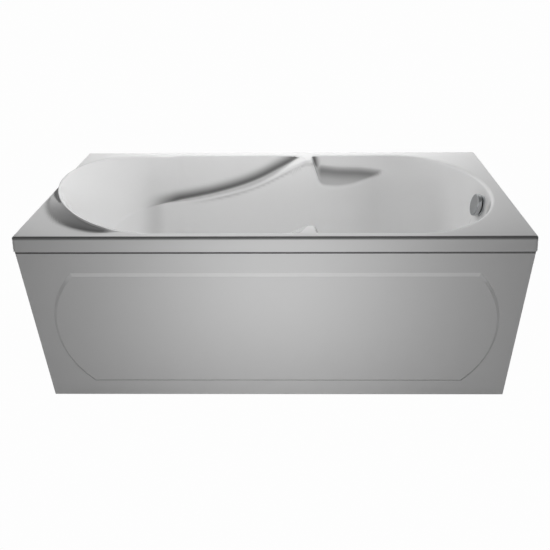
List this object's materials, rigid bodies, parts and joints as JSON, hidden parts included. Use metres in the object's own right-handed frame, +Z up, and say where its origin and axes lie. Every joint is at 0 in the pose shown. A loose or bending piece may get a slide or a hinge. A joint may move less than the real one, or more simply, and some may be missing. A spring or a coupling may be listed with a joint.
{
  "type": "alcove bathtub",
  "caption": "White alcove bath with raised headrest lip, swooping armrests, front panel with raised field, rotary overflow, pop-up waste and levelling frame.",
  "frame": {"origin": "on the floor, under the middle of the tub's length and width", "axes": "+X along the tub towards its waste end, +Y towards the wall behind it, -Y faces the front panel, +Z up"},
  "size_m": [1.5, 0.7, 0.642],
  "materials": {
    "acrylic": "polished white acrylic",
    "panel_plastic": "polished white sheet",
    "chipboard": "raw pressed board",
    "timber": "sawn softwood",
    "frame_steel": "grey powder coat",
    "zinc_steel": "bright zinc",
    "chrome": "polished plating",
    "brass": "turned",
    "seal_rubber": "soft black",
    "pipe_plastic": "moulded white",
    "hose_plastic": "ribbed light grey",
    "black_plastic": "moulded black"
  },
  "bodies": {
    "tub": {"tub_shell": "acrylic", "base_board": "chipboard", "rim_batten_front": "timber", "rim_batten_back": "timber", "corner_blocks": "timber", "long_rail_front": "frame_steel", "long_rail_back": "frame_steel", "cross_bar_left": "frame_steel", "cross_bar_centre": "frame_steel", "cross_bar_right": "frame_steel", "corner_post_front_left": "frame_steel", "corner_post_front_right": "frame_steel", "corner_post_back_left": "frame_steel", "corner_post_back_right": "frame_steel", "tube_end_caps": "black_plastic", "post_bolts": "zinc_steel", "block_screws": "zinc_steel", "board_screws": "zinc_steel", "adjuster_nuts": "zinc_steel", "front_panel": "panel_plastic", "panel_clips": "zinc_steel", "clip_screws": "zinc_steel", "panel_brackets": "zinc_steel", "panel_screws": "zinc_steel", "wall_brackets": "zinc_steel", "bracket_screws": "zinc_steel", "overflow_flange": "chrome", "overflow_seal": "seal_rubber", "overflow_body": "pipe_plastic", "flange_screws": "zinc_steel", "overflow_hose": "hose_plastic", "hose_nuts": "pipe_plastic", "control_cable": "black_plastic", "waste_flange": "chrome", "waste_seal": "seal_rubber", "waste_body": "pipe_plastic", "trap_nut": "pipe_plastic", "trap_body": "pipe_plastic", "trap_cup": "pipe_plastic"},
    "knob": {"overflow_knob": "chrome", "knob_spindle": "brass"},
    "plug": {"waste_plug": "chrome", "plug_seal": "seal_rubber", "plug_lifter": "pipe_plastic"},
    "foot_front_left": {"foot_rod_front_left": "zinc_steel", "foot_pad_front_left": "black_plastic"},
    "foot_front_right": {"foot_rod_front_right": "zinc_steel", "foot_pad_front_right": "black_plastic"},
    "foot_back_left": {"foot_rod_back_left": "zinc_steel", "foot_pad_back_left": "black_plastic"},
    "foot_back_right": {"foot_rod_back_right": "zinc_steel", "foot_pad_back_right": "black_plastic"},
    "foot_centre": {"foot_rod_centre": "zinc_steel", "foot_pad_centre": "black_plastic"}
  },
  "joints": [
    {"name": "knob_turn", "type": "hinge", "parent": "tub", "child": "knob", "pos_m": [0.68554, 0, 0.535], "axis": [-0.9848, 0, 0.1736], "range_deg": [0, 90]},
    {"name": "plug_lift", "type": "slide", "parent": "tub", "child": "plug", "axis": [0, 0, 1], "range_m": [0, 0.01]},
    {"name": "front_left_foot_screw", "type": "slide", "parent": "tub", "child": "foot_front_left", "axis": [0, 0, -1], "range_m": [-0.015, 0.02]},
    {"name": "front_right_foot_screw", "type": "slide", "parent": "tub", "child": "foot_front_right", "axis": [0, 0, -1], "range_m": [-0.015, 0.02]},
    {"name": "back_left_foot_screw", "type": "slide", "parent": "tub", "child": "foot_back_left", "axis": [0, 0, -1], "range_m": [-0.015, 0.02]},
    {"name": "back_right_foot_screw", "type": "slide", "parent": "tub", "child": "foot_back_right", "axis": [0, 0, -1], "range_m": [-0.015, 0.02]},
    {"name": "centre_foot_screw", "type": "slide", "parent": "tub", "child": "foot_centre", "axis": [0, 0, -1], "range_m": [-0.015, 0.02]}
  ],
  "couplings": [
    {"joint": "plug_lift", "follows": "knob_turn", "m_per_rad": 0.006366}
  ]
}
